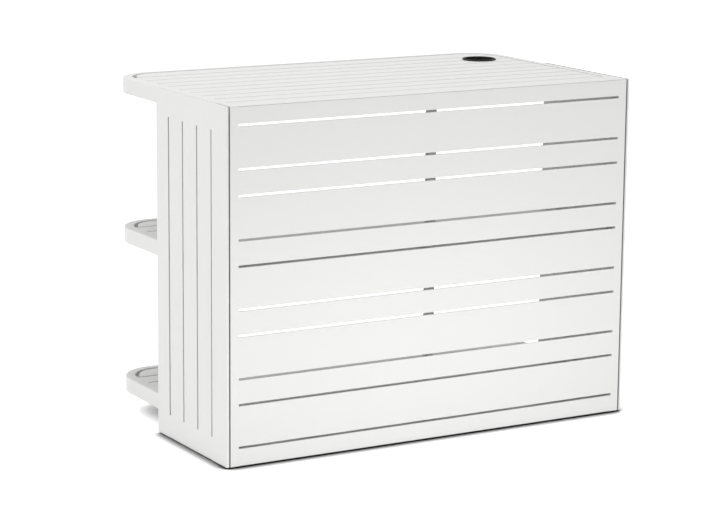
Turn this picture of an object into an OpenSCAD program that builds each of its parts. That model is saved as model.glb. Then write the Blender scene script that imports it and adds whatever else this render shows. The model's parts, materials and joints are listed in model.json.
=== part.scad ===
// Modular bar counter in powder-coated aluminium, in millimetres.
// Origin on the floor under the middle of the counter, +X to the right, +Y to the back, +Z up.
// The slatted front and end panels stand round a slatted top and two shelves, whose rear
// corners are bent to a wide radius. The back is open.

/* [Overall] */
// Width over the end panels
counter_w = 1412; // [1200:1:1700]
// Height of the top surface over the floor
counter_h = 1070; // [1000:1:1150]
// Depth from the front face to the back edge of the top
counter_d = 826; // [760:1:900]
// Depth of the end panels
end_d = 463; // [420:1:520]
// Height of the panels over the floor
floor_gap = 5; // [4:0.5:10]

/* [Gaps] */
// Open gap between two slats
slat_gap = 7; // [4:0.5:9]
// Gap behind the rearmost slat, along the bent edge rail
rear_slot = 13; // [8:1:16]
// Seam between an end panel and what stands between the end panels
panel_seam = 5; // [3:0.5:6]
// Seam between the front panel and the top
top_seam = 2; // [1:0.5:4]
// Seam between the front panel's upper edge and the lip over it
lip_seam = 0.4; // [0.3:0.1:1]

/* [Sheet] */
// Wall of the hollow stiles and rails and of the folded deck slats
sheet_t = 2; // [1.5:0.1:3]
// Small radius of a slat's outer edges
fold_r = 1.2; // [0.6:0.1:1.4]

/* [Front panel] */
// Depth of the front panel's stiles and rails
front_t = 18; // [14:1:22]
// Thickness of the flat bars that are the front panel's slats
front_slat_t = 5; // [4:0.5:8]
// Width of the two front stiles
front_stile_w = 27; // [22:1:36]
// Height of the top and the bottom rail of the front panel
front_rail_h = 52; // [40:1:64]
// Height of a narrow front slat
narrow_slat_h = 70.5; // [50:0.5:80]
// Width of the middle post behind the slats
mullion_w = 20; // [16:1:30]
// Depth of the middle post and of the corner posts
post_d = 30; // [26:1:40]
// Width of the corner posts
post_w = 27; // [25:1:34]
// Wall of the posts and bearers
tube_t = 2; // [1.5:0.1:3]

/* [End panels] */
// Thickness of the end panels
end_t = 8; // [7:0.5:12]
// Radius of the outer front corner of an end panel
end_corner_r = 3; // [2:0.5:4]
// Thickness of the solid nose in that corner
end_nose_t = 5; // [5:0.5:8]
// Width of the front stile of an end panel
end_front_stile_w = 93; // [70:1:110]
// Width of the rear stile of an end panel
end_rear_stile_w = 81; // [60:1:100]
// Height of the top rail of an end panel
end_top_rail_h = 78; // [60:1:95]
// Height of the bottom rail of an end panel
end_bottom_rail_h = 71; // [50:1:90]
// Number of slats in an end panel
end_slats = 3; // [2:1:5]

/* [Top and shelves] */
// Height of the edge of the top and of the shelves
slab_h = 50; // [46:1:54]
// Height of the upper face of the middle shelf over the floor
middle_shelf_z = 599.5; // [520:0.5:680]
// Height of the upper face of the bottom shelf over the floor
bottom_shelf_z = 117.5; // [105:0.5:180]
// Width of the edge rail at the sides and the back
edge_rail_w = 30; // [26:1:34]
// Width of the front rail of the top
top_front_rail_w = 63; // [60:1:75]
// Thickness of that rail's lip over the front panel
lip_t = 1.5; // [1.5:0.1:2.5]
// Outer radius of the bent rear corners
rear_corner_r = 125; // [110:1:140]
// Wall of the edge rail
rail_t = 3; // [2.5:0.1:4]
// Radius of the outer edges of the edge rail
rail_edge_r = 4; // [2:0.5:5]
// Width of the ledge that the slats lie on
ledge_w = 24; // [20:1:28]
// Width of the flange at the foot of the edge rail
foot_flange_w = 20; // [17:1:24]
// Thickness of a deck slat
deck_t = 12; // [10:0.5:15]
// Number of slats in the top and in each shelf
deck_slats = 9; // [8:1:10]
// Width of the rearmost slat, which is cut to the bent corners
rear_slat_w = 77; // [66:1:84]
// Width of a bearer under the slats
bearer_w = 30; // [24:1:34]
// Gap between the outermost bearers and the chute's backing plate
bearer_clear = 13; // [2:1:40]
// Number of bearers on each side of the middle one
bearer_pairs = 2; // [1:1:3]

/* [Slab brackets] */
// Width of the flat leg of the angles that carry the side rails
angle_leg_w = 30; // [26:1:40]
// Depth of the open seam above an angle's upright leg
angle_drop = 8; // [5:1:14]
// Diameter of the machine screws
screw_d = 6; // [5:0.5:6]
// Length of a screw's shank
screw_l = 14; // [14:1:18]
// Number of screws in each angle
screws_per_angle = 3; // [2:1:5]

/* [Waste chute] */
// Clear diameter of the chute
chute_d = 96; // [80:1:100]
// Wall of the chute's sleeve
chute_wall = 3; // [2.5:0.5:4]
// Width of the flange outside the sleeve
chute_flange_w = 4; // [3:0.5:8]
// Height of the flange over the top
chute_flange_h = 4.5; // [3:0.5:6]
// Length of the sleeve under the top surface
chute_sleeve_l = 36; // [28:1:60]
// Distance of the chute's axis from the right side
chute_from_side = 158; // [150:1:168]
// Number of slats behind the gap that the chute's axis lies on
chute_slats_behind = 2; // [2:1:3]
// Width of the backing plate under the chute
chute_plate_w = 140; // [130:1:144]
// Thickness of the backing plate
chute_plate_t = 3; // [2:0.5:4]
// Width of the ring nut outside the sleeve
chute_nut_w = 13; // [8:1:14]
// Height of the ring nut
chute_nut_h = 6; // [4:1:8]

/* [Feet] */
// Diameter of a glide's pad
pad_d = 26; // [20:1:27]
// Thickness of the flange on a glide's stud
stud_flange_t = 1.5; // [1:0.5:2]
// Diameter of a glide's stud
stud_d = 8; // [6:1:10]
// Length of a glide's stud above its flange
stud_l = 34; // [28:1:40]
// Height of the threaded plugs
plug_h = 20; // [18:1:24]
// Diameter of a rear leg
leg_d = 32; // [30:1:38]
// Distance of the rear legs from the back edge
leg_inset = 125; // [90:1:180]
// Width of the plate at the head of a rear leg
leg_plate_w = 60; // [50:1:70]

/* [Hidden] */

// Overshoot of a cutting tool past the face that it cuts
cut = 1;
// Radial clearance of a thread, and of the chute in its cut-outs
thread_gap = 0.05;
chute_gap_r = 0.5;
screw_gap = 0.2;
// Distance from a slat's edge to its spacer
spacer_inset = 10;
// Distance of the joints in the edge rails from the end panels' rear edges, which hide them
joint_inset = 12;

white = [0.93, 0.93, 0.92];
white_shade = [0.87, 0.87, 0.86];
black = [0.07, 0.07, 0.07];
zinc = [0.70, 0.71, 0.72];

// Planes of the whole counter
front_y = -counter_d / 2;
rear_y = counter_d / 2;
side_x = counter_w / 2;
panel_h = counter_h - floor_gap;
inner_x = side_x - end_t;
slab_x = inner_x - panel_seam;
end_back_y = front_y + end_d;
front_back_y = front_y + front_t;
post_back_y = front_back_y + post_d;
front_panel_h = panel_h - lip_t - lip_seam;

// Front panel
narrow_slats = 4;
front_field_w = 2 * (slab_x - front_stile_w);
wide_slats = narrow_slats + 1;
front_gaps = wide_slats + narrow_slats + 1;
wide_slat_h = (panel_h - 2 * front_rail_h - narrow_slats * narrow_slat_h
  - front_gaps * slat_gap) / wide_slats;
front_pair_h = wide_slat_h + narrow_slat_h + 2 * slat_gap;

// End panels
end_field_w = end_d - end_front_stile_w - end_rear_stile_w;
end_slat_w = (end_field_w - (end_slats + 1) * slat_gap) / end_slats;
end_field_h = panel_h - end_top_rail_h - end_bottom_rail_h;

// Top and shelves
rail_inner_x = slab_x - edge_rail_w;
rail_inner_y = rear_y - edge_rail_w;
joint_y = end_back_y - joint_inset;
bend_x = slab_x - rear_corner_r;
bend_y = rear_y - rear_corner_r;
top_front_y = front_back_y + top_seam;
deck_front_y = top_front_y + top_front_rail_w;
rear_slat_y = rail_inner_y - rear_slot - rear_slat_w;
deck_pitch = (rear_slat_y - slat_gap - deck_front_y) / (deck_slats - 1);
deck_slat_w = deck_pitch - slat_gap;
bearer_h = slab_h - deck_t - rail_t;
under_top = counter_h - slab_h;

// Waste chute, on the middle of a slat gap
chute_r = chute_d / 2;
sleeve_r = chute_r + chute_wall;
chute_x = side_x - chute_from_side;
chute_y = rear_slat_y - slat_gap / 2 - (chute_slats_behind - 1) * deck_pitch;
chute_slat = deck_slats - chute_slats_behind;
chute_seat_z = counter_h - deck_t;
outer_bearer_x = chute_x - chute_plate_w / 2 - bearer_clear - bearer_w / 2;

// Feet
pad_h = floor_gap - stud_flange_t;
post_x = inner_x - post_w / 2;
post_y = front_back_y + post_d / 2;
leg_x = outer_bearer_x;
leg_y = rear_y - leg_inset;
leg_top_z = bottom_shelf_z - slab_h;

// Heights of the lower edges of the wide and narrow front slats, counted from the floor up
function wide_z(i) = floor_gap + front_rail_h + slat_gap + (i - 1) * front_pair_h;
function narrow_z(i) = wide_z(i) + wide_slat_h + slat_gap;

// What a rounding of radius r takes from a corner at the origin
module corner_cut(r) {
  difference() {
    translate([-cut, -cut]) square([r + cut, r + cut]);
    translate([r, r]) circle(r, $fn = 48);
  }
}

// Outline of a slat: face up at y = 0, its outer edges rounded unless one is welded on
module slat_section(w, d, welded) {
  difference() {
    translate([-w / 2, -d]) square([w, d]);
    if (welded <= 0) translate([w / 2, 0]) rotate(180) corner_cut(fold_r);
    if (welded >= 0) translate([-w / 2, 0]) rotate(-90) corner_cut(fold_r);
  }
}

// Solid bar of a slat's outline, its length along X and its face up at z = 0.
// Its outer edge on the +Y or the -Y side is square where welded is 1 or -1.
module slat_bar(l, w, d, welded = 0) {
  translate([-l / 2, 0, 0]) rotate([90, 0, 90]) linear_extrude(l) slat_section(w, d, welded);
}

// Hollow slat: face up at z = 0, open at both ends or closed at its +X end
module hollow_slat(l, w, d, closed = false, welded = 0) {
  difference() {
    slat_bar(l, w, d, welded);
    translate([-l / 2 - cut, -w / 2 + sheet_t, sheet_t - d])
      cube([l + (closed ? cut - sheet_t : 2 * cut), w - 2 * sheet_t, d - 2 * sheet_t]);
  }
}

// What is drawn on the right, or its mirror image on the left where s is -1
module on_side(s) {
  if (s > 0) children();
  else mirror([1, 0, 0]) children();
}

// Rectangular tube along Z, from z = 0 up
module box_tube(w, d, l) {
  difference() {
    translate([-w / 2, -d / 2, 0]) cube([w, d, l]);
    translate([-w / 2 + tube_t, -d / 2 + tube_t, -cut])
      cube([w - 2 * tube_t, d - 2 * tube_t, l + 2 * cut]);
  }
}

// The top and the bottom rail of the front panel, the lower edge at z
module front_panel_rail(z, h) {
  color(white) translate([0, front_y, z + h / 2]) rotate([90, 0, 0])
    hollow_slat(front_field_w, h, front_t);
}

module front_top_rail() {
  front_panel_rail(counter_h - front_rail_h, front_rail_h - lip_t - lip_seam);
}

module front_bottom_rail() { front_panel_rail(floor_gap, front_rail_h); }

// A slat of the front panel, a flat bar with its lower edge at z
module front_slat(z, h) {
  color(white) translate([0, front_y, z + h / 2]) rotate([90, 0, 0])
    slat_bar(front_field_w, h, front_slat_t);
}

module front_wide_slat(i) { front_slat(wide_z(i), wide_slat_h); }

module front_narrow_slat(i) { front_slat(narrow_z(i), narrow_slat_h); }

// A stile of the front panel, s = -1 on the left and 1 on the right
module front_stile(s) {
  color(white) translate([
    s * (slab_x - front_stile_w / 2), front_y, floor_gap + front_panel_h / 2
  ]) rotate([90, 0, 0]) rotate([0, 0, 90])
    hollow_slat(front_panel_h, front_stile_w, front_t, true, s);
}

// A corner post behind a front stile, flush with the end panel's inner face
module front_post(s) {
  color(white_shade) translate([s * post_x, post_y, floor_gap])
    box_tube(post_w, post_d, under_top - floor_gap);
}

module front_middle_post() {
  color(white_shade) translate([0, post_y, floor_gap])
    box_tube(mullion_w, post_d, under_top - floor_gap);
}

// Spacers that fill the step between the slats' backs and the middle post
module front_post_spacers() {
  color(white_shade) {
    for (i = [1 : wide_slats]) post_spacer(wide_z(i), wide_slat_h);
    for (i = [1 : narrow_slats]) post_spacer(narrow_z(i), narrow_slat_h);
  }
}

module post_spacer(z, h) {
  translate([-mullion_w / 2, front_y + front_slat_t, z + spacer_inset])
    cube([mullion_w, front_t - front_slat_t, h - 2 * spacer_inset]);
}

// An upright member of an end panel, its front edge at y and its foot at z
module end_upright(s, y, w, z, l, closed = false, welded = 0) {
  color(white) on_side(s) translate([side_x, y + w / 2, z + l / 2]) rotate([0, 90, 0])
    rotate([0, 0, 180]) hollow_slat(l, w, end_t, closed, welded);
}

// A level member between the stiles of an end panel, its lower edge at z. The slats are
// welded on its upper edge where welded is 1, and on its lower edge where it is -1.
module end_rail(s, z, h, welded) {
  y = front_y + end_front_stile_w;
  color(white) on_side(s) translate([side_x, y + end_field_w / 2, z + h / 2])
    rotate([0, 90, 0]) rotate([0, 0, 90])
    hollow_slat(end_field_w, h, end_t, false, welded);
}

// The front stile of an end panel has the larger rounding on its outer front corner
module end_front_stile(s) {
  color(white) on_side(s) translate([inner_x, front_y, floor_gap]) difference() {
    linear_extrude(panel_h) difference() {
      square([end_t, end_front_stile_w]);
      translate([end_t, 0]) rotate(90) corner_cut(end_corner_r);
    }
    translate([sheet_t, end_nose_t, -cut]) cube([
      end_t - 2 * sheet_t, end_front_stile_w - end_nose_t - sheet_t, panel_h - sheet_t + cut
    ]);
  }
}

module end_rear_stile(s) {
  end_upright(s, end_back_y - end_rear_stile_w, end_rear_stile_w, floor_gap, panel_h,
    true, 1);
}

module end_top_rail(s) { end_rail(s, counter_h - end_top_rail_h, end_top_rail_h, -1); }

module end_bottom_rail(s) { end_rail(s, floor_gap, end_bottom_rail_h, 1); }

module end_panel_slats(s) {
  for (i = [0 : end_slats - 1])
    end_upright(s, front_y + end_front_stile_w + slat_gap + i * (end_slat_w + slat_gap),
      end_slat_w, floor_gap + end_bottom_rail_h, end_field_h);
}

// Plan of the deck, set in from the outer edge, with its two bent rear corners
module deck_plan(inset) {
  r = rear_corner_r - inset;
  w = slab_x - inset;
  translate([-w, front_y]) square([2 * w, bend_y - front_y]);
  translate([-bend_x, front_y]) square([2 * bend_x, rear_y - inset - front_y]);
  for (s = [-1, 1]) translate([s * bend_x, bend_y]) circle(r, $fn = 128);
}

// Section of the edge rail: x inwards from its outer face, y = 0 at the upper face.
// A flange on top, a drop wall with the ledge for the slats, and a foot flange.
module rail_section(w, ledge = true, lip = false) {
  difference() {
    union() {
      translate([0, -slab_h]) square([rail_t, slab_h]);
      translate([0, -rail_t]) square([w, rail_t]);
      translate([w - rail_t, -deck_t - rail_t]) square([rail_t, deck_t + rail_t]);
      translate([0, -slab_h]) square([foot_flange_w, rail_t]);
      if (ledge) translate([w - rail_t, -deck_t - rail_t]) square([ledge_w + rail_t, rail_t]);
    }
    if (!lip) rotate(-90) corner_cut(rail_edge_r);
    translate([0, -slab_h]) corner_cut(rail_edge_r);
  }
}

// Straight edge rail along Y from y0 to y1, on the right, with its outer face at x = 0
module side_rail_run(y0, y1) {
  translate([0, y1, 0]) rotate([90, 0, 0]) linear_extrude(y1 - y0)
    mirror([1, 0]) rail_section(edge_rail_w);
}

// A front rail from y back to the deck's front edge, between the end panels. Its ledge
// ends at the side ledges.
module front_rail(z, y, lip = false) {
  w = deck_front_y - y;
  color(white) translate([0, y, z]) {
    translate([-slab_x, 0, 0]) rotate([90, 0, 90]) linear_extrude(2 * slab_x) {
      rail_section(w, false, lip);
      if (lip) translate([-front_t - top_seam, -lip_t]) lip_section(front_t + top_seam);
    }
    translate([-rail_inner_x + ledge_w, w - rail_t, -deck_t - rail_t])
      cube([2 * (rail_inner_x - ledge_w), ledge_w + rail_t, rail_t]);
  }
}

// Section of the lip that covers the front panel, its upper front edge rounded
module lip_section(w) {
  difference() {
    square([w, lip_t]);
    translate([0, lip_t]) rotate(-90) corner_cut(lip_t / 2);
  }
}

// The two side rails run from the front rail to the ends of the bent rear rail
module side_rails(z) {
  color(white) for (s = [-1, 1]) on_side(s) difference() {
    translate([slab_x, 0, z]) side_rail_run(deck_front_y, joint_y);
    translate([0, 0, z - slab_h]) screw_holes(rail_t);
  }
}

// The rear rail: one length, bent at both rear corners
module rear_rail(z) {
  color(white) translate([0, 0, z]) {
    translate([-bend_x, rear_y, 0]) rotate([90, 0, 90]) linear_extrude(2 * bend_x)
      mirror([1, 0]) rail_section(edge_rail_w);
    for (s = [-1, 1]) on_side(s) {
      translate([slab_x, 0, 0]) side_rail_run(joint_y, bend_y);
      translate([bend_x, bend_y, 0]) rotate_extrude(angle = 90, $fn = 128)
        translate([rear_corner_r, 0]) mirror([1, 0]) rail_section(edge_rail_w);
    }
  }
}

// One deck slat, a folded tray open below. The slats reach the side rails, but the
// rearmost one ends at the slot along the bent rail.
module deck_slat(z, i) {
  rearmost = i == deck_slats - 1;
  w = rearmost ? rear_slat_w : deck_slat_w;
  y = deck_front_y + slat_gap + i * deck_pitch;
  inset = rearmost ? edge_rail_w + rear_slot : edge_rail_w;
  color(white) difference() {
    intersection() {
      translate([0, y + w / 2, z]) slat_bar(counter_w, w, deck_t);
      translate([0, 0, z - deck_t]) linear_extrude(deck_t) deck_plan(inset);
    }
    translate([0, 0, z - deck_t - cut]) linear_extrude(deck_t - sheet_t + cut) intersection() {
      translate([-side_x, y + sheet_t]) square([counter_w, w - 2 * sheet_t]);
      deck_plan(inset + sheet_t);
    }
  }
}

// A bearer under the slats, its ends housed in the front and the rear rail
module deck_bearers(z, front_rail_y) {
  y0 = front_rail_y + rail_t;
  y1 = rear_y - rail_t;
  color(white_shade) for (i = [-bearer_pairs : bearer_pairs])
    translate([i * outer_bearer_x / bearer_pairs, 0, z - slab_h + rail_t]) difference() {
      translate([0, y1, 0]) rotate([90, 0, 0]) translate([0, bearer_h / 2, 0])
        box_tube(bearer_w, bearer_h, y1 - y0);
      bearer_notch(y0 - cut, deck_front_y + ledge_w);
      bearer_notch(rail_inner_y - ledge_w, y1 + cut);
    }
}

// The step under the ledge at a bearer's end
module bearer_notch(y0, y1) {
  translate([-bearer_w / 2 - cut, y0, bearer_h - rail_t])
    cube([bearer_w + 2 * cut, y1 - y0, rail_t + cut]);
}

module top_front_rail() { front_rail(counter_h, top_front_y, true); }

module top_slats() {
  for (i = [0 : deck_slats - 1])
    if (i != chute_slat - 1 && i != chute_slat) deck_slat(counter_h, i);
}

// The two slats that the chute passes between
module top_chute_slats() {
  difference() {
    for (i = [chute_slat - 1, chute_slat]) deck_slat(counter_h, i);
    translate([chute_x, chute_y, chute_seat_z - cut])
      cylinder(r = sleeve_r + chute_gap_r, h = deck_t + 2 * cut, $fn = 96);
  }
}

module top_bearers() { deck_bearers(counter_h, top_front_y); }

// The shelves start behind the posts, so that these run up to the top unbroken
module shelf_front_rail(z) { front_rail(z, post_back_y); }

module shelf_slats(z) {
  for (i = [0 : deck_slats - 1]) deck_slat(z, i);
}

module shelf_bearers(z) { deck_bearers(z, post_back_y); }

// Flanged ring and sleeve of the waste chute, in one moulding
module chute_ring() {
  flange_r = sleeve_r + chute_flange_w;
  color(black) translate([chute_x, chute_y, counter_h]) rotate_extrude($fn = 96) difference() {
    union() {
      translate([chute_r, -chute_sleeve_l]) square([chute_wall, chute_sleeve_l]);
      translate([chute_r, 0]) square([flange_r - chute_r, chute_flange_h]);
    }
    translate([flange_r, chute_flange_h]) rotate(180) corner_cut(chute_flange_h / 2);
    translate([chute_r, chute_flange_h]) rotate(-90) corner_cut(chute_wall / 2);
  }
}

module chute_backing_plate() {
  color(zinc) translate([chute_x, chute_y, chute_seat_z - chute_plate_t]) difference() {
    translate([-chute_plate_w / 2, -chute_plate_w / 2, 0])
      cube([chute_plate_w, chute_plate_w, chute_plate_t]);
    translate([0, 0, -cut])
      cylinder(r = sleeve_r + chute_gap_r, h = chute_plate_t + 2 * cut, $fn = 96);
  }
}

// Ring nut that draws the flange down on the slats
module chute_ring_nut() {
  color(black) translate([chute_x, chute_y, chute_seat_z - chute_plate_t - chute_nut_h])
    difference() {
      cylinder(r = sleeve_r + chute_nut_w, h = chute_nut_h, $fn = 96);
      translate([0, 0, -cut])
        cylinder(r = sleeve_r + thread_gap, h = chute_nut_h + 2 * cut, $fn = 96);
      for (a = [0 : 45 : 315]) rotate(a) translate([sleeve_r + chute_nut_w, 0, -cut])
        cylinder(r = chute_nut_h / 2, h = chute_nut_h + 2 * cut, $fn = 24);
    }
}

// Heights of the undersides of the three slabs
slab_bottoms = [bottom_shelf_z - slab_h, middle_shelf_z - slab_h, counter_h - slab_h];

// Places of the screws along an angle
screw_y = [for (i = [0 : screws_per_angle - 1])
  post_back_y + (end_back_y - post_back_y) * (i + 0.5) / screws_per_angle];
screw_x = slab_x - foot_flange_w / 2 - rail_t / 2;

// Angles that carry a side rail: the upright leg stands in the seam
module slab_angles(s) {
  color(white_shade) for (z = slab_bottoms) on_side(s) difference() {
    union() {
      translate([slab_x, post_back_y, z - panel_seam])
        cube([panel_seam, end_back_y - post_back_y, slab_h - angle_drop + panel_seam]);
      translate([inner_x - angle_leg_w, post_back_y, z - panel_seam])
        cube([angle_leg_w, end_back_y - post_back_y, panel_seam]);
    }
    translate([0, 0, z - panel_seam]) screw_holes(panel_seam);
  }
}

// The row of screw holes on the right, through a sheet of thickness t that lies on z = 0
module screw_holes(t) {
  for (y = screw_y) translate([screw_x, y, -cut])
    cylinder(d = screw_d + 2 * screw_gap, h = t + 2 * cut, $fn = 32);
}

// Screws from below through an angle and the side rail's foot flange
module machine_screws() {
  head_r = screw_d * 0.9;
  head_h = screw_d * 0.55;
  color(zinc) at_screws() translate([0, 0, -panel_seam]) difference() {
    union() {
      translate([0, 0, -head_h]) cylinder(r = head_r, h = head_h, $fn = 32);
      cylinder(d = screw_d, h = screw_l, $fn = 32);
    }
    translate([0, 0, -head_h - cut]) cylinder(r = screw_d / 3, h = head_h / 2 + cut, $fn = 6);
  }
}

module lock_nuts() {
  color(zinc) at_screws() translate([0, 0, rail_t]) difference() {
    cylinder(r = screw_d * 0.95, h = screw_d * 0.8, $fn = 6);
    translate([0, 0, -cut])
      cylinder(r = screw_d / 2 + thread_gap, h = screw_d * 0.8 + 2 * cut, $fn = 32);
  }
}

module at_screws() {
  for (s = [-1, 1], z = slab_bottoms, y = screw_y) translate([s * screw_x, y, z]) children();
}

// Threaded plugs in the feet of the corner posts and of the rear legs
module foot_plugs() {
  color(black) for (s = [-1, 1]) {
    translate([s * post_x, post_y, floor_gap]) difference() {
      translate([tube_t - post_w / 2, tube_t - post_d / 2, 0])
        cube([post_w - 2 * tube_t, post_d - 2 * tube_t, plug_h]);
      stud_bore();
    }
    translate([s * leg_x, leg_y, floor_gap]) difference() {
      cylinder(r = leg_d / 2 - tube_t - thread_gap, h = plug_h, $fn = 64);
      stud_bore();
    }
  }
}

module stud_bore() {
  translate([0, 0, -cut]) cylinder(r = stud_d / 2 + thread_gap, h = plug_h + 2 * cut, $fn = 32);
}

// The rear legs hang from the bearers of the bottom shelf
module rear_legs() {
  plate_t = rail_t;
  color(white_shade) for (s = [-1, 1]) translate([s * leg_x, leg_y, floor_gap]) {
    difference() {
      cylinder(d = leg_d, h = leg_top_z - floor_gap, $fn = 64);
      translate([0, 0, -cut])
        cylinder(d = leg_d - 2 * tube_t, h = leg_top_z - floor_gap + cut, $fn = 64);
    }
    translate([-leg_plate_w / 2, -leg_plate_w / 2, leg_top_z - floor_gap])
      cube([leg_plate_w, leg_plate_w, plate_t]);
  }
}

// Pad of a glide, chamfered where it meets the floor
module glide_pad(x, y) {
  color(black) translate([x, y, 0]) rotate_extrude($fn = 48) polygon([
    [0, 0], [pad_d / 2 - 1, 0], [pad_d / 2, 1], [pad_d / 2, pad_h], [0, pad_h]
  ]);
}

// Stud of a glide, with the flange that the pad is moulded to
module glide_stud(x, y) {
  color(zinc) translate([x, y, pad_h]) {
    cylinder(d = 2 * stud_d, h = stud_flange_t, $fn = 48);
    cylinder(d = stud_d, h = stud_flange_t + stud_l, $fn = 32);
  }
}

front_stile(-1);  // front_left_stile
front_stile(1);  // front_right_stile
front_top_rail();
front_bottom_rail();
front_wide_slat(1);  // front_wide_slat_1
front_wide_slat(2);  // front_wide_slat_2
front_wide_slat(3);  // front_wide_slat_3
front_wide_slat(4);  // front_wide_slat_4
front_wide_slat(5);  // front_wide_slat_5
front_narrow_slat(1);  // front_narrow_slat_1
front_narrow_slat(2);  // front_narrow_slat_2
front_narrow_slat(3);  // front_narrow_slat_3
front_narrow_slat(4);  // front_narrow_slat_4
front_middle_post();
front_post_spacers();
front_post(-1);  // front_left_post
front_post(1);  // front_right_post
end_front_stile(-1);  // left_end_front_stile
end_rear_stile(-1);  // left_end_rear_stile
end_top_rail(-1);  // left_end_top_rail
end_bottom_rail(-1);  // left_end_bottom_rail
end_panel_slats(-1);  // left_end_slats
end_front_stile(1);  // right_end_front_stile
end_rear_stile(1);  // right_end_rear_stile
end_top_rail(1);  // right_end_top_rail
end_bottom_rail(1);  // right_end_bottom_rail
end_panel_slats(1);  // right_end_slats
top_front_rail();
side_rails(counter_h);  // top_side_rails
rear_rail(counter_h);  // top_rear_rail
top_slats();
top_chute_slats();
top_bearers();
chute_ring();
chute_backing_plate();
chute_ring_nut();
shelf_front_rail(middle_shelf_z);  // middle_shelf_front_rail
side_rails(middle_shelf_z);  // middle_shelf_side_rails
rear_rail(middle_shelf_z);  // middle_shelf_rear_rail
shelf_slats(middle_shelf_z);  // middle_shelf_slats
shelf_bearers(middle_shelf_z);  // middle_shelf_bearers
shelf_front_rail(bottom_shelf_z);  // bottom_shelf_front_rail
side_rails(bottom_shelf_z);  // bottom_shelf_side_rails
rear_rail(bottom_shelf_z);  // bottom_shelf_rear_rail
shelf_slats(bottom_shelf_z);  // bottom_shelf_slats
shelf_bearers(bottom_shelf_z);  // bottom_shelf_bearers
slab_angles(-1);  // left_slab_angles
slab_angles(1);  // right_slab_angles
machine_screws();
lock_nuts();
foot_plugs();
rear_legs();
glide_pad(-post_x, post_y);  // left_front_pad
glide_stud(-post_x, post_y);  // left_front_stud
glide_pad(post_x, post_y);  // right_front_pad
glide_stud(post_x, post_y);  // right_front_stud
glide_pad(-leg_x, leg_y);  // left_rear_pad
glide_stud(-leg_x, leg_y);  // left_rear_stud
glide_pad(leg_x, leg_y);  // right_rear_pad
glide_stud(leg_x, leg_y);  // right_rear_stud
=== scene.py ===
import json
import math

import bmesh
import bpy
from mathutils import Matrix, Vector


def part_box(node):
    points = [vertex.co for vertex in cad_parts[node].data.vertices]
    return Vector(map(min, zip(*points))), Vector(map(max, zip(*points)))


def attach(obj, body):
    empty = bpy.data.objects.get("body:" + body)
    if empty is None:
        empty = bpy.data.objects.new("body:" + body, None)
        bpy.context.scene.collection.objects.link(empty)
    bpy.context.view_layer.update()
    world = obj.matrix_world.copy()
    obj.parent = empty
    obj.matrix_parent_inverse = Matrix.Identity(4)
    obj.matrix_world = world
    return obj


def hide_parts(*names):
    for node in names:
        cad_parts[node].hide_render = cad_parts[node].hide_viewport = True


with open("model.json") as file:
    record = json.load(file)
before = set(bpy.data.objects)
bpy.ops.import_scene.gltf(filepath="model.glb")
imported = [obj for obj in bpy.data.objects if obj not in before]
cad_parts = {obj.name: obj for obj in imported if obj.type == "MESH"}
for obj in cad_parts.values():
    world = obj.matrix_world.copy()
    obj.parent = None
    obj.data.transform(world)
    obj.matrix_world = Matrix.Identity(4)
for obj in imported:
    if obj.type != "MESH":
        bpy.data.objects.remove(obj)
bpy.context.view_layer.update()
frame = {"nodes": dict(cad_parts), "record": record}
scene = bpy.context.scene
mm = 0.001   # m
print("frame loaded:", len(frame["nodes"]), "CAD pieces")


# Nodes that the finishes, the floor and the sky share

mixSockets = {"first": 6, "second": 7, "result": 2}   # of a Mix node that mixes colours


def newMaterial(name):
    mat = bpy.data.materials.new(name)
    mat.use_nodes = True
    tree = mat.node_tree
    return mat, tree, tree.nodes["Principled BSDF"]


def feed(tree, value, socket):
    # A number or a colour is set on the socket, and another node's output is linked to it
    if isinstance(value, bpy.types.NodeSocket):
        tree.links.new(value, socket)
    else:
        socket.default_value = value


def calculate(tree, operation, first, second):
    node = tree.nodes.new("ShaderNodeMath")
    node.operation = operation
    feed(tree, first, node.inputs[0])
    feed(tree, second, node.inputs[1])
    return node.outputs[0]


def mixColours(tree, share, first, second):
    # The first colour where the share is 0, and the second where it is 1
    node = tree.nodes.new("ShaderNodeMix")
    node.data_type = "RGBA"
    feed(tree, first, node.inputs[mixSockets["first"]])
    feed(tree, second, node.inputs[mixSockets["second"]])
    feed(tree, share, node.inputs["Factor"])
    return node.outputs[mixSockets["result"]]


def stretch(tree, value, low, high):
    # A value that goes from 0 to 1 then goes from low to high
    node = tree.nodes.new("ShaderNodeMapRange")
    node.inputs["To Min"].default_value = low
    node.inputs["To Max"].default_value = high
    tree.links.new(value, node.inputs["Value"])
    return node.outputs["Result"]


def openShare(tree, reach, span, rays):
    # How open it is over a point within the reach, from 0 at span[0] to 1 at span[1]
    sky = tree.nodes.new("ShaderNodeAmbientOcclusion")
    sky.inputs["Distance"].default_value = reach
    sky.samples = rays
    share = tree.nodes.new("ShaderNodeMapRange")
    share.inputs["From Min"].default_value = span[0]
    share.inputs["From Max"].default_value = span[1]
    tree.links.new(sky.outputs["AO"], share.inputs["Value"])
    return share.outputs["Result"]


def objectPlace(tree):
    return tree.nodes.new("ShaderNodeTexCoord").outputs["Object"]


def addNoise(tree, place, size, detail):
    noise = tree.nodes.new("ShaderNodeTexNoise")
    noise.inputs["Scale"].default_value = 1 / (size * mm)
    noise.inputs["Detail"].default_value = detail
    tree.links.new(place, noise.inputs["Vector"])
    return noise.outputs["Fac"]


def addBump(tree, shader, height, depth):
    bump = tree.nodes.new("ShaderNodeBump")
    bump.inputs["Distance"].default_value = depth * mm
    tree.links.new(height, bump.inputs["Height"])
    tree.links.new(bump.outputs["Normal"], shader.inputs["Normal"])


def varyRoughness(tree, shader, pattern, span):
    tree.links.new(stretch(tree, pattern, *span), shader.inputs["Roughness"])


# Powder coat, outside and on the inner parts; shade is painted into it in narrow gaps, and the
# inner parts' colour is painted darker for shade

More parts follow.
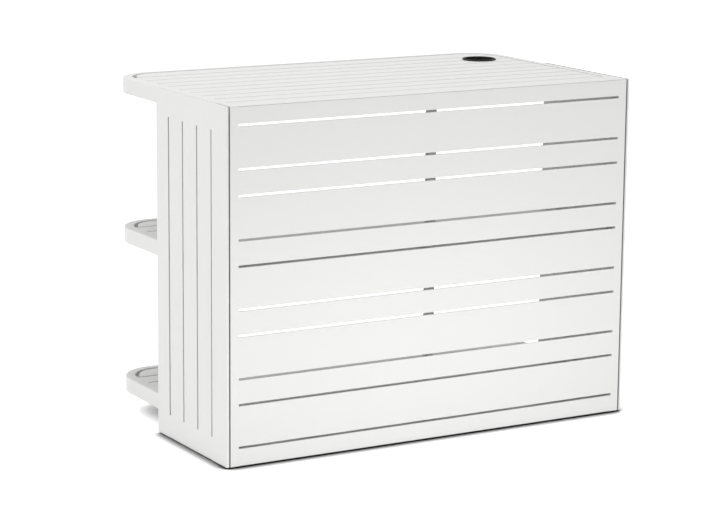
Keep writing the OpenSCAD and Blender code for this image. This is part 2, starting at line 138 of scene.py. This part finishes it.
powderCoat = {
    "colour": (0.86, 0.86, 0.852, 1),
    "shade": 0.985,             # share of the colour left in the darker clouds of the coat
    "cloudSize": 260,           # mm
    "roughness": (0.37, 0.47),
    "glossSize": 24,            # mm across a smoother or rougher patch
    "shine": 0.4,
    "peelSize": 2.2,            # mm from one dimple of the orange peel to the next
    "peelDepth": 0.012,         # mm
    "paintedShadeReach": 14,             # mm up to which a gap is narrow, where shade is painted into the coat's colour
    "paintedShadeRange": (0.3, 0.85),    # open share within the reach at which the painted shade is darkest and gone
    "paintedShadeShare": 0.62,           # share of the colour left where the painted shade is darkest
    "paintedShadeRays": 4,
}

# Painted shade: the inner parts get the same white coat in a darker colour, standing for the
# shade inside the counter
shadedInnerCoat = dict(
    powderCoat, colour=(0.80, 0.80, 0.792, 1), shade=0.98, roughness=(0.45, 0.55))


def darker(colour, share):
    return [c * share for c in colour[:3]] + [1]


def makeCoat(name, coat):
    mat, tree, shader = newMaterial(name)
    place = objectPlace(tree)
    colour = coat["colour"]
    cloud = addNoise(tree, place, coat["cloudSize"], detail=3)
    tint = mixColours(tree, cloud, colour, darker(colour, coat["shade"]))
    # Painted shade: the coat's colour is made darker in narrow gaps and corners, where less
    # light gets in
    paintedShadeMask = openShare(tree, coat["paintedShadeReach"] * mm, coat["paintedShadeRange"], coat["paintedShadeRays"])
    paintedShadeColour = mixColours(tree, paintedShadeMask, darker(colour, coat["paintedShadeShare"]), tint)
    tree.links.new(paintedShadeColour, shader.inputs["Base Color"])
    gloss = addNoise(tree, place, coat["glossSize"], detail=4)
    varyRoughness(tree, shader, gloss, coat["roughness"])
    peel = addNoise(tree, place, coat["peelSize"], detail=1)
    addBump(tree, shader, peel, coat["peelDepth"])
    shader.inputs["Specular IOR Level"].default_value = coat["shine"]
    return mat


# Black moulded plastic of the waste chute, the foot plugs and the pads

blackMoulding = {
    "colour": (0.008, 0.008, 0.008, 1),
    "roughness": (0.42, 0.58),
    "glossSize": 9,             # mm across a smoother or rougher patch
    "shine": 0.2,               # less than the usual 0.5, as on a matt moulded surface
    "grainSize": 0.5,           # mm
    "grainDepth": 0.01,         # mm
}


def makeMoulding(name, plastic):
    mat, tree, shader = newMaterial(name)
    place = objectPlace(tree)
    shader.inputs["Base Color"].default_value = plastic["colour"]
    shader.inputs["Specular IOR Level"].default_value = plastic["shine"]
    gloss = addNoise(tree, place, plastic["glossSize"], detail=3)
    varyRoughness(tree, shader, gloss, plastic["roughness"])
    grain = addNoise(tree, place, plastic["grainSize"], detail=2)
    addBump(tree, shader, grain, plastic["grainDepth"])
    return mat


# Zinc plating of the screws, nuts, studs and the chute's backing plate

zincPlate = {
    "colour": (0.62, 0.63, 0.65, 1),
    "roughness": (0.26, 0.44),
    "spangle": 3.0,             # mm across a patch of the plating
}


def makePlating(name, plate):
    mat, tree, shader = newMaterial(name)
    shader.inputs["Base Color"].default_value = plate["colour"]
    shader.inputs["Metallic"].default_value = 1
    patches = tree.nodes.new("ShaderNodeTexVoronoi")
    patches.inputs["Scale"].default_value = 1 / (plate["spangle"] * mm)
    tree.links.new(objectPlace(tree), patches.inputs["Vector"])
    varyRoughness(tree, shader, patches.outputs["Color"], plate["roughness"])
    return mat


finishes = {
    "white_coat": makeCoat("white powder coat", powderCoat),
    "inner_coat": makeCoat("white powder coat inside, painted darker for shade", shadedInnerCoat),
    "black_plastic": makeMoulding("black moulded plastic", blackMoulding),
    "zinc_steel": makePlating("zinc-plated steel", zincPlate),
}

for entry in frame["record"]["subparts"]:
    piece = frame["nodes"][entry["node"]]
    piece.data.materials.clear()
    piece.data.materials.append(finishes[entry["material_slot"]])
print("materials set on the CAD pieces")


# What the new pieces share

newPieces = {
    "softAngle": 30,            # degrees between two faces up to which their edge is soft
    "flatWeight": 100,          # how far the largest face rules the shading at its rim
}


def cutOff(bm, place, away, near):
    # What lies past the plane goes, and the edges of the open rim are given back
    cut = bmesh.ops.bisect_plane(
        bm, geom=bm.verts[:] + bm.edges[:] + bm.faces[:], dist=near,
        plane_co=place, plane_no=away, clear_outer=True)
    return [e for e in cut["geom_cut"] if isinstance(e, bmesh.types.BMEdge)]


def finishPiece(bm, name, body, slot, stoodFor):
    # The new piece takes the place of a CAD node, and moves with that node's body
    mesh = bpy.data.meshes.new(name)
    bm.to_mesh(mesh)
    bm.free()
    mesh.shade_smooth()
    mesh.set_sharp_from_angle(angle=math.radians(newPieces["softAngle"]))
    mesh.materials.append(finishes[slot])
    piece = bpy.data.objects.new(name, mesh)
    scene.collection.objects.link(piece)
    flatFaces = piece.modifiers.new("flat faces", "WEIGHTED_NORMAL")
    flatFaces.keep_sharp = True
    flatFaces.weight = newPieces["flatWeight"]
    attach(piece, body)
    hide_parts(stoodFor)


# Deck slats: their right ends stop a little short of the side rail

deckSeam = {
    "decks": ("top_slats", "top_chute_slats", "middle_shelf_slats", "bottom_shelf_slats"),
    "open": 6,                  # mm between the slats' ends and the rail
    "merge": 0.001,             # mm within which the CAD mesh's corners are one
}


def shortenSlats(node):
    near = deckSeam["merge"] * mm
    bm = bmesh.new()
    bm.from_mesh(frame["nodes"][node].data)
    bmesh.ops.remove_doubles(bm, verts=bm.verts, dist=near)
    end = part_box(node)[1][0] - deckSeam["open"] * mm
    rim = cutOff(bm, (end, 0, 0), (1, 0, 0), near)
    # The walls get flat ends, and each slat's hollow stays open there
    lid = bmesh.ops.triangle_fill(bm, edges=rim, use_beauty=True)
    lidFaces = [f for f in lid["geom"] if isinstance(f, bmesh.types.BMFace)]
    for face in lidFaces:
        face.normal_update()
    bmesh.ops.reverse_faces(bm, faces=[f for f in lidFaces if f.normal.x < 0])
    finishPiece(bm, node + "_cut", "counter", "white_coat", node)


for deck in deckSeam["decks"]:
    shortenSlats(deck)
print("deck slats shortened at the right")


# Studs of the levelling feet: a flange and a cut thread

footStud = {
    "flange": 16,               # mm across
    "flangeHeight": 1.5,        # mm
    "flangeSides": 48,
    "thread": 8,                # mm across the crests
    "depth": 0.75,              # mm from crest to root
    "pitch": 1.25,              # mm
    "crest": 0.15,              # mm along the flat of a crest, and of a root
    "chamfer": 0.8,             # mm of the end over which the thread runs out to the root
    "steps": 32,                # in one turn of the thread
    "merge": 0.001,             # mm within which two corners are one
    "near": 0.0001,             # mm within which a corner lies on the plane of a cut
    "feet": ("left_front", "right_front", "left_rear", "right_rear"),
}


def makeStud(foot):
    stud = footStud
    low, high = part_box(foot + "_stud")
    x, y = (low[0] + high[0]) / 2, (low[1] + high[1]) / 2
    flangeHeight = stud["flangeHeight"] * mm
    base, top = low[2] + flangeHeight, high[2]
    pitch, flat = stud["pitch"] * mm, stud["crest"] * mm
    crest = stud["thread"] / 2 * mm
    root = crest - stud["depth"] * mm
    flank = pitch / 2 - flat
    profile = ((root, 0), (root, flat), (crest, flat + flank), (crest, 2 * flat + flank))
    bm = bmesh.new()
    # One upright line of roots and crests is drawn up by a pitch in a full turn
    line = []
    z = base - 2 * pitch    # low enough for the cut at the base to go through whole turns
    while z < top + pitch:
        for radius, height in profile:
            line.append(bm.verts.new((x + radius, y, z + height)))
        z += pitch
    line.append(bm.verts.new((x + root, y, z)))
    edges = [bm.edges.new(pair) for pair in zip(line, line[1:])]
    bmesh.ops.spin(
        bm, geom=line + edges, cent=(x, y, 0), axis=(0, 0, 1),
        dvec=(0, 0, pitch / stud["steps"]), angle=2 * math.pi, steps=stud["steps"],
        use_merge=False, use_duplicate=False)
    bmesh.ops.remove_doubles(bm, verts=bm.verts, dist=stud["merge"] * mm)
    for height, side in ((base, -1), (top, 1)):
        rim = cutOff(bm, (x, y, height), (0, 0, side), stud["near"] * mm)
        bmesh.ops.edgenet_fill(bm, edges=rim)
    # The end is turned down to the root
    for v in bm.verts:
        fromAxis = math.hypot(v.co.x - x, v.co.y - y)
        widest = root + max(0, top - v.co.z) * stud["depth"] / stud["chamfer"]
        if fromAxis > widest:
            v.co.x = x + (v.co.x - x) * widest / fromAxis
            v.co.y = y + (v.co.y - y) * widest / fromAxis
    bmesh.ops.recalc_face_normals(bm, faces=bm.faces)
    bmesh.ops.create_cone(
        bm, cap_ends=True, cap_tris=False, segments=stud["flangeSides"], depth=flangeHeight,
        radius1=stud["flange"] / 2 * mm, radius2=stud["flange"] / 2 * mm,
        matrix=Matrix.Translation((x, y, low[2] + flangeHeight / 2)))
    finishPiece(bm, foot + "_stud_cut", foot + "_glide", "zinc_steel", foot + "_stud")


for foot in footStud["feet"]:
    makeStud(foot)
print("threaded studs made")


# Floor and sky: both are plain white to the camera; the floor keeps the lit shadows where its
# added lift fades out under things, and has a painted contact shadow at their feet

studio = {
    "floorSize": 120,              # m
    "floorColour": (0.9, 0.9, 0.9, 1),
    "floorRoughness": 0.9,
    "paintedShadowColour": (0.03, 0.03, 0.03, 1),
    "paintedShadowReach": 0.06,          # m up to which a shadow is painted on the floor at the foot of a thing
    "paintedShadowRange": (0.5, 0.95),   # open share within the reach at which the painted shadow is darkest and gone
    "liftColour": (1, 1, 1, 1),
    "floorLift": 0.85,             # added for the camera only, so that the open floor is white
    "liftReach": 0.2,              # m up to which a thing over the floor takes from that lift
    "liftRange": (0.15, 0.5),      # open share within the reach at which it begins and is whole
    "floorRays": 8,
    "skyColour": (1, 1, 1, 1),
    "skyStrength": 0.6,            # of the light on the object
    "skySeen": 1,                  # of the background
}


def sawDirectly(tree):
    # 1 for what the camera sees, also by reflection or through glass
    path = tree.nodes.new("ShaderNodeLightPath")
    plain = calculate(
        tree, "MAXIMUM", path.outputs["Is Camera Ray"], path.outputs["Is Glossy Ray"])
    return calculate(tree, "MAXIMUM", plain, path.outputs["Is Transmission Ray"])


def makeFloor():
    bpy.ops.mesh.primitive_plane_add(size=studio["floorSize"])
    floor = bpy.context.object
    floor.name = "floor"
    mat, tree, shader = newMaterial("studio floor")
    shader.inputs["Roughness"].default_value = studio["floorRoughness"]
    shader.inputs["Specular IOR Level"].default_value = 0
    shader.inputs["Emission Color"].default_value = studio["liftColour"]
    seen = sawDirectly(tree)
    rays = studio["floorRays"]
    # Painted shadow: the floor's colour goes towards near black close to things standing on it
    paintedShadowMask = openShare(tree, studio["paintedShadowReach"], studio["paintedShadowRange"], rays)
    over = openShare(tree, studio["liftReach"], studio["liftRange"], rays)
    clear = calculate(tree, "MULTIPLY", paintedShadowMask, over)
    # The painted shadow is seen by the camera only; the light that the floor sends back to the
    # object is that of its pale colour throughout
    pale = calculate(tree, "MAXIMUM", clear, calculate(tree, "SUBTRACT", 1, seen))
    tint = mixColours(tree, pale, studio["paintedShadowColour"], studio["floorColour"])
    tree.links.new(tint, shader.inputs["Base Color"])
    lift = calculate(tree, "MULTIPLY", clear, seen)
    strength = calculate(tree, "MULTIPLY", lift, studio["floorLift"])
    tree.links.new(strength, shader.inputs["Emission Strength"])
    floor.data.materials.append(mat)


def makeSky():
    world = bpy.data.worlds.new("studio")
    scene.world = world
    world.use_nodes = True
    tree = world.node_tree
    background = tree.nodes["Background"]
    background.inputs["Color"].default_value = studio["skyColour"]
    strength = stretch(tree, sawDirectly(tree), studio["skyStrength"], studio["skySeen"])
    tree.links.new(strength, background.inputs["Strength"])


makeFloor()
makeSky()
print("floor and sky made")


# Soft boxes: where each stands and what it is aimed at in m, its width and height, its watts

softBoxes = {
    "key": {"place": (2.5, -9.0, 4.0), "aim": (0, 0, 0.6), "size": (5, 4), "power": 70},
    "side": {"place": (-8.0, -1.5, 2.8), "aim": (-0.7, 0, 0.6), "size": (3, 3), "power": 136},
    "low": {"place": (0, -1.5, 0.2), "aim": (0, -0.4, 0.15), "size": (2, 0.3), "power": 3.9},
    "head": {"place": (-0.5, 0.2, 4.5), "aim": (-0.4, 0, 1), "size": (2, 2), "power": 33},
}


def makeSoftBox(name, box):
    light = bpy.data.lights.new(name, "AREA")
    light.shape = "RECTANGLE"
    light.size, light.size_y = box["size"]
    light.energy = box["power"]
    lamp = bpy.data.objects.new(name, light)
    scene.collection.objects.link(lamp)
    lamp.location = box["place"]
    away = Vector(box["place"]) - Vector(box["aim"])
    lamp.rotation_euler = away.to_track_quat("Z", "Y").to_euler()
    lamp.visible_camera = False


for name, box in softBoxes.items():
    makeSoftBox(name, box)
print("soft boxes made")


# Camera at the photograph's viewing angle, which it has without a shift

viewpoint = {
    "place": (-3.94118, -6.76411, 2.07467),   # m
    "turn": -29.97,             # degrees to the left of straight ahead, so this is to the right
    "tilt": 11.33,              # degrees down
    "roll": 0.46,               # degrees
    "focalPixels": 2524.33,     # in a picture of the width below
    "pictureWidth": 710,        # pixels
    "sensor": 36,               # mm
    "farthest": 200,            # m
}


def makeCamera():
    data = bpy.data.cameras.new("camera")
    data.sensor_width = viewpoint["sensor"]
    data.lens = viewpoint["focalPixels"] / viewpoint["pictureWidth"] * viewpoint["sensor"]
    data.clip_end = viewpoint["farthest"]
    camera = bpy.data.objects.new("camera", data)
    scene.collection.objects.link(camera)
    turned = Matrix.Rotation(math.radians(viewpoint["turn"]), 4, "Z")
    tilted = Matrix.Rotation(math.radians(90 - viewpoint["tilt"]), 4, "X")
    rolled = Matrix.Rotation(math.radians(viewpoint["roll"]), 4, "Z")
    camera.matrix_world = Matrix.Translation(viewpoint["place"]) @ turned @ tilted @ rolled
    scene.camera = camera


makeCamera()
scene.view_settings.view_transform = "Standard"
print("camera made")
